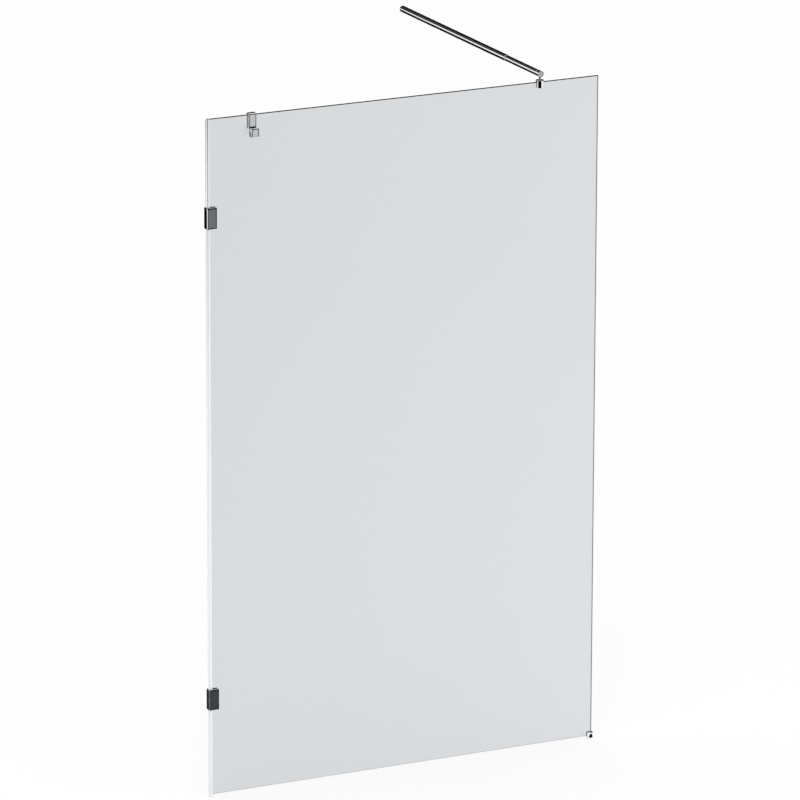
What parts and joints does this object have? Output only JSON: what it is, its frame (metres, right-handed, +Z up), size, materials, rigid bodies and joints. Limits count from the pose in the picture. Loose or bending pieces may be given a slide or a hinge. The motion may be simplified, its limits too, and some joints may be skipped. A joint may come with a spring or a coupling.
{
  "type": "fixed shower screen",
  "caption": "Walk-in glass shower screen held by wall clamps, a corner foot and a swivelling telescopic support bar, with a wall seal and a sliding robe hook.",
  "frame": {"origin": "middle of the lower clamp's two wall holes, on the wall", "axes": "+X away from the wall along the pane, +Y along the support bar, +Z up"},
  "size_m": [1.211, 0.907, 1.9905],
  "materials": {
    "glass": "clear toughened glass, smooth faces and polished edges",
    "chrome": "polished chrome",
    "steel": "bright stainless steel",
    "seal": "clear flexible vinyl",
    "rubber": "matt black rubber",
    "nylon": "natural nylon"
  },
  "bodies": {
    "screen": {"glass_panel": "glass", "wall_seal_lower": "seal", "wall_seal_middle": "seal", "wall_seal_upper": "seal", "bar_clamp_body": "chrome", "bar_clamp_liner": "seal", "bar_clamp_grub_screw": "steel", "swivel_pin": "steel", "foot_body": "chrome", "foot_liner": "seal", "lower_clamp_bracket": "chrome", "lower_clamp_front_plate": "chrome", "lower_clamp_front_gasket": "rubber", "lower_clamp_rear_gasket": "rubber", "lower_clamp_bushes": "nylon", "lower_clamp_screws": "steel", "upper_clamp_bracket": "chrome", "upper_clamp_front_plate": "chrome", "upper_clamp_front_gasket": "rubber", "upper_clamp_rear_gasket": "rubber", "upper_clamp_bushes": "nylon", "upper_clamp_screws": "steel"},
    "bar_inner": {"bar_head": "chrome", "bar_head_lock_screw": "steel", "bar_inner_tube": "chrome", "twist_lock_plug": "nylon", "twist_lock_cam": "nylon"},
    "bar_outer": {"bar_outer_tube": "chrome", "bar_wall_insert": "steel", "bar_wall_grub_screw": "steel"},
    "hook": {"robe_hook": "chrome", "robe_hook_liner": "seal"}
  },
  "joints": [
    {"name": "bar_swivel", "type": "hinge", "parent": "screen", "child": "bar_inner", "pos_m": [1.0235, 0, 1.693], "axis": [0, 0, 1], "range_deg": [-90, 90]},
    {"name": "bar_telescope", "type": "slide", "parent": "bar_inner", "child": "bar_outer", "axis": [0, 1, 0], "range_m": [-0.18, 0.28]},
    {"name": "hook_slide", "type": "slide", "parent": "screen", "child": "hook", "axis": [1, 0, 0], "range_m": [-0.11, 0.86]}
  ]
}
